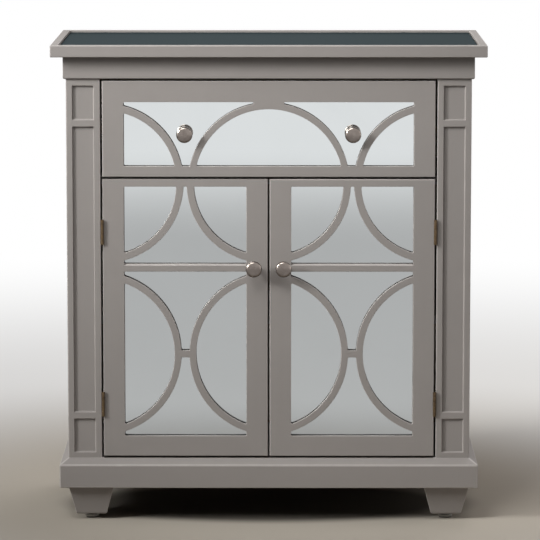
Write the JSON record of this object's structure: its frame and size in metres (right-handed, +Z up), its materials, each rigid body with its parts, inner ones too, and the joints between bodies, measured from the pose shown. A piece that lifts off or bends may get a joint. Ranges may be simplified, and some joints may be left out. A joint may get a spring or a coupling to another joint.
{
  "type": "chiffonier",
  "caption": "Free-standing painted cupboard with a drawer above paired doors, mirror-backed ring fretwork fronts, sunken-panel pilasters, a mirrored top, a plinth and tapered feet.",
  "frame": {"origin": "on the floor under the middle of the top board", "axes": "+Z up, +Y from the doors to the back, +X to the right of someone facing the doors"},
  "size_m": [0.8, 0.4, 0.89],
  "materials": {
    "paint": "satin warm grey paint on board",
    "cupboard_board": "the same grey paint, flatter, inside the cupboard",
    "raw_wood": "clear-sealed softwood and plywood",
    "hardboard": "smooth brown hardboard",
    "mirror": "silvered mirror glass",
    "top_mirror": "smoked mirror glass",
    "satin_nickel": "satin nickel plate",
    "antique_brass": "dark antique brass",
    "steel": "zinc-plated steel",
    "black_plastic": "moulded plastic"
  },
  "bodies": {
    "carcass": {"top_board": "paint", "top_mirror": "top_mirror", "frieze_front": "paint", "frieze_right": "paint", "frieze_left": "paint", "frieze_back": "raw_wood", "bottom_panel": "cupboard_board", "drawer_divider": "cupboard_board", "shelf": "cupboard_board", "back_panel": "hardboard", "back_panel_pins": "steel", "shelf_pins": "steel", "side_panel_right": "paint", "side_panel_left": "paint", "plinth_front": "paint", "plinth_right": "paint", "plinth_left": "paint", "plinth_back": "raw_wood", "foot_front_left": "paint", "foot_front_right": "paint", "foot_back_left": "paint", "foot_back_right": "paint", "foot_glides": "black_plastic", "foot_bolts": "steel", "foot_corner_blocks": "raw_wood", "hinge_frame_leaves": "antique_brass", "hinge_pins": "antique_brass", "hinge_frame_screws": "antique_brass", "pilaster_right": "paint", "pilaster_left": "paint", "door_catches": "black_plastic", "runner_packers": "raw_wood", "drawer_runner_right": "raw_wood", "drawer_runner_left": "raw_wood"},
    "drawer": {"drawer_front": "paint", "drawer_mirror": "mirror", "drawer_backing": "hardboard", "drawer_knob_left": "satin_nickel", "drawer_knob_right": "satin_nickel", "drawer_screws": "steel", "drawer_box_front": "raw_wood", "drawer_side_right": "raw_wood", "drawer_side_left": "raw_wood", "drawer_box_back": "raw_wood", "drawer_bottom": "hardboard"},
    "door_left": {"door_left_frame": "paint", "door_left_mirror": "mirror", "door_left_backing": "hardboard", "door_left_knob": "satin_nickel", "door_left_hinge_leaves": "antique_brass", "door_left_strike_plate": "steel", "door_left_screws": "steel"},
    "door_right": {"door_right_frame": "paint", "door_right_mirror": "mirror", "door_right_backing": "hardboard", "door_right_knob": "satin_nickel", "door_right_hinge_leaves": "antique_brass", "door_right_strike_plate": "steel", "door_right_screws": "steel"}
  },
  "joints": [
    {"name": "drawer_slide", "type": "slide", "parent": "carcass", "child": "drawer", "axis": [0, -1, 0], "range_m": [0, 0.24]},
    {"name": "door_left_hinge", "type": "hinge", "parent": "carcass", "child": "door_left", "pos_m": [-0.30745, -0.1761, 0.38215], "axis": [0, 0, -1], "range_deg": [0, 170]},
    {"name": "door_right_hinge", "type": "hinge", "parent": "carcass", "child": "door_right", "pos_m": [0.30745, -0.1761, 0.38215], "axis": [0, 0, 1], "range_deg": [0, 170]}
  ]
}
